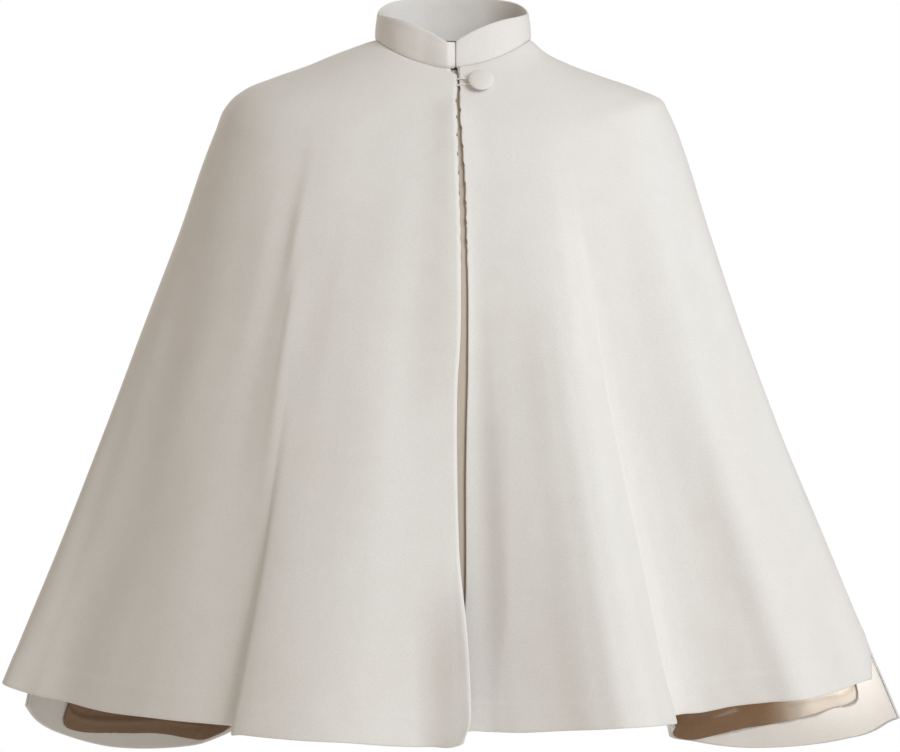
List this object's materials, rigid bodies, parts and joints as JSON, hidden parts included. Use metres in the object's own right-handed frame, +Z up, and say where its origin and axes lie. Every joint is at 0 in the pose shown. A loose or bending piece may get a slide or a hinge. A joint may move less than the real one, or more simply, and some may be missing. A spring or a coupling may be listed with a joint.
{
  "type": "short wool cape",
  "caption": "Flared hip-length wool cape with a stand collar and one covered button at the neck, worn and hollow.",
  "frame": {"origin": "middle of the neck opening, level with the neck seam at the shoulders", "axes": "+X to the right as the front is seen, -Y out of the garment's front, +Z up along the wearer"},
  "size_m": [0.901, 0.3818, 0.7823],
  "materials": {
    "wool": "felted wool cloth, matt",
    "underlap_wool": "felted wool cloth in shade, matt",
    "lining": "brown lining satin, soft sheen",
    "thread": "cream twisted cord"
  },
  "bodies": {
    "root": {"left_front": "wool", "right_front": "wool", "left_side": "wool", "right_side": "wool", "back": "wool", "back_facing": "wool", "back_lining": "lining", "underlap": "underlap_wool", "collar": "wool", "button": "wool", "button_shank": "thread", "loop_upper": "thread", "loop_lower": "thread"}
  },
  "joints": []
}
